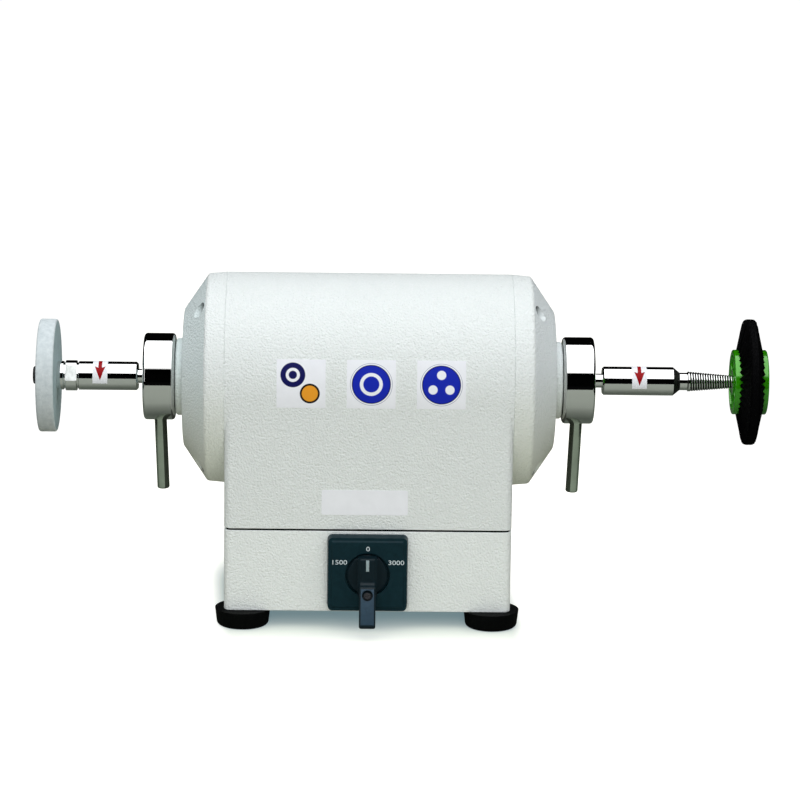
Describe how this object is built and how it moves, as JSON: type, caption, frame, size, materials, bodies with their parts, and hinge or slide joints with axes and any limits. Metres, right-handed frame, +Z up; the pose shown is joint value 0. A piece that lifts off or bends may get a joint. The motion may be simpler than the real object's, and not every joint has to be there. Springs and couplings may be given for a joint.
{
  "type": "bench polishing lathe",
  "caption": "Bench polishing lathe: motor barrel on a pedestal, quick-change tapered spindles with lever ejectors, felt wheel and bristle brush, rotary speed switch on the base.",
  "frame": {"origin": "on the bench, under the middle of the motor housing", "axes": "+X along the shaft towards the brush, +Y to the back, +Z up"},
  "size_m": [0.5574, 0.2145, 0.2535],
  "materials": {
    "cast_white": "cast, under white orange-peel paint",
    "gasket_rubber": "matte",
    "foot_rubber": "matte",
    "screw_steel": "plain",
    "zinc_sheet": "zinc plated",
    "bearing_steel": "ground",
    "cage_brass": "pressed",
    "core_steel": "laminated",
    "copper_coils": "varnished copper",
    "cast_aluminium": "cast",
    "shaft_steel": "ground",
    "chrome_plate": "polished plate",
    "lever_steel": "satin",
    "wheel_felt": "dense felt",
    "black_steel": "blackened",
    "hub_green": "moulded",
    "bristle_black": "fine bristles",
    "plate_black": "fine grain",
    "handle_grey": "satin",
    "switch_plastic": "moulded",
    "capacitor_white": "moulded",
    "gland_black": "moulded"
  },
  "bodies": {
    "stand": {"back_left_foot": "foot_rubber", "back_right_foot": "foot_rubber", "base_box": "cast_white", "base_cover": "zinc_sheet", "base_gasket": "gasket_rubber", "cable_gland": "gland_black", "capacitor": "capacitor_white", "capacitor_clamp": "zinc_sheet", "foot_screws": "screw_steel", "front_left_foot": "foot_rubber", "front_right_foot": "foot_rubber", "gland_cap": "gland_black", "gland_nut": "gland_black", "housing_bolts": "screw_steel", "left_bearing_outer": "bearing_steel", "left_bearing_shim": "bearing_steel", "left_bell_screws": "screw_steel", "left_end_bell": "cast_white", "left_shaft_seal": "gasket_rubber", "motor_housing": "cast_white", "preload_washer": "bearing_steel", "right_bearing_outer": "bearing_steel", "right_bell_screws": "screw_steel", "right_end_bell": "cast_white", "right_shaft_seal": "gasket_rubber", "stator_core": "core_steel", "stator_winding": "copper_coils", "switch_body": "switch_plastic", "switch_plate": "plate_black", "switch_screws": "screw_steel", "terminal_block": "switch_plastic"},
    "rotor": {"shaft": "shaft_steel", "rotor_core": "core_steel", "rotor_end_rings": "cast_aluminium", "left_bearing_inner": "bearing_steel", "right_bearing_inner": "bearing_steel"},
    "left_ball_set": {"left_bearing_balls": "bearing_steel", "left_bearing_cage": "cage_brass"},
    "right_ball_set": {"right_bearing_balls": "bearing_steel", "right_bearing_cage": "cage_brass"},
    "left_tool": {"left_spindle": "chrome_plate", "polishing_wheel": "wheel_felt", "wheel_screw": "black_steel"},
    "right_tool": {"right_spindle": "chrome_plate", "brush_hub": "hub_green", "brush_bristles": "bristle_black"},
    "left_pusher": {"left_thrust_washer": "shaft_steel"},
    "right_pusher": {"right_thrust_washer": "shaft_steel"},
    "left_ejector": {"left_ejector_ring": "chrome_plate", "left_ejector_lever": "lever_steel"},
    "right_ejector": {"right_ejector_ring": "chrome_plate", "right_ejector_lever": "lever_steel"},
    "speed_handle": {"switch_handle": "handle_grey", "handle_screw": "screw_steel", "switch_shaft": "shaft_steel"}
  },
  "joints": [
    {"name": "rotor_spin", "type": "hinge", "parent": "stand", "child": "rotor", "pos_m": [0, 0, 0.1735], "axis": [1, 0, 0], "continuous": true},
    {"name": "left_ball_spin", "type": "hinge", "parent": "stand", "child": "left_ball_set", "pos_m": [-0.129, 0, 0.1735], "axis": [1, 0, 0], "continuous": true},
    {"name": "left_tool_pull", "type": "slide", "parent": "rotor", "child": "left_tool", "axis": [-1, 0, 0], "range_m": [0, 0.04]},
    {"name": "left_pusher_slide", "type": "slide", "parent": "stand", "child": "left_pusher", "axis": [-1, 0, 0], "range_m": [0, 0.0026]},
    {"name": "left_ejector_turn", "type": "hinge", "parent": "left_pusher", "child": "left_ejector", "pos_m": [-0.1585, 0, 0.1735], "axis": [-1, 0, 0], "range_deg": [0, 90]},
    {"name": "right_ball_spin", "type": "hinge", "parent": "stand", "child": "right_ball_set", "pos_m": [0.129, 0, 0.1735], "axis": [1, 0, 0], "continuous": true},
    {"name": "right_tool_pull", "type": "slide", "parent": "rotor", "child": "right_tool", "axis": [1, 0, 0], "range_m": [0, 0.04]},
    {"name": "right_pusher_slide", "type": "slide", "parent": "stand", "child": "right_pusher", "axis": [1, 0, 0], "range_m": [0, 0.0026]},
    {"name": "right_ejector_turn", "type": "hinge", "parent": "right_pusher", "child": "right_ejector", "pos_m": [0.1585, 0, 0.1735], "axis": [-1, 0, 0], "range_deg": [0, 90]},
    {"name": "speed_turn", "type": "hinge", "parent": "stand", "child": "speed_handle", "pos_m": [0, -0.0858, 0.044], "axis": [0, 1, 0], "range_deg": [-60, 60]}
  ],
  "couplings": [
    {"joint": "left_ball_spin", "follows": "rotor_spin", "ratio": 0.38358},
    {"joint": "left_pusher_slide", "follows": "left_ejector_turn", "m_per_rad": 0.0016552},
    {"joint": "right_ball_spin", "follows": "rotor_spin", "ratio": 0.38358},
    {"joint": "right_pusher_slide", "follows": "right_ejector_turn", "m_per_rad": 0.0016552}
  ]
}
